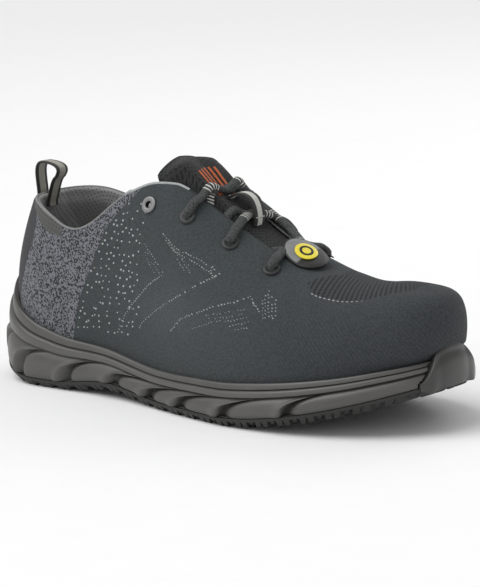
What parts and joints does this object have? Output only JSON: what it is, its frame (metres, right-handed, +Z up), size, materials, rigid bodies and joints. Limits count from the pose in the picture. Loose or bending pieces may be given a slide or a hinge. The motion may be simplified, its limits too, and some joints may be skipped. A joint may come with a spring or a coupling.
{
  "type": "safety sneaker",
  "caption": "Right-foot low safety sneaker with a charcoal knit upper, scalloped foam midsole, lugged rubber tread, toe guard, laces and a heel pull loop.",
  "frame": {"origin": "on the floor under the heel, at the middle lug of the heel's tread, on the shoe's middle line", "axes": "+X towards the toe, +Z up, -Y the outer (lateral) side of this right shoe"},
  "size_m": [0.3052, 0.1134, 0.1284],
  "materials": {
    "knit": "fine knitted textile, matt, speckled light grey at the heel",
    "foam": "moulded foam with a satin skin",
    "rubber": "moulded rubber, satin",
    "mesh": "black spacer mesh",
    "lining": "grey lining cloth, matt",
    "cord": "round woven lace with white flecks",
    "webbing": "woven tape with a pale middle and dark edges",
    "ring": "satin grey eyelet",
    "tag": "smooth moulded tag, silver grey to black",
    "disc": "plain yellow disc"
  },
  "bodies": {
    "root": {"upper": "knit", "midsole": "foam", "outsole": "rubber", "toe_guard": "rubber", "insole": "lining", "tongue": "mesh", "eyelet_outer_1": "ring", "eyelet_outer_2": "ring", "eyelet_outer_3": "ring", "eyelet_outer_4": "ring", "eyelet_inner_1": "ring", "eyelet_inner_2": "ring", "eyelet_inner_3": "ring", "eyelet_inner_4": "ring", "lace_top": "cord", "lace_middle": "cord", "lace_low": "cord", "lace_keeper": "webbing", "throat_tag": "tag", "tag_disc": "disc", "heel_loop": "webbing"}
  },
  "joints": []
}
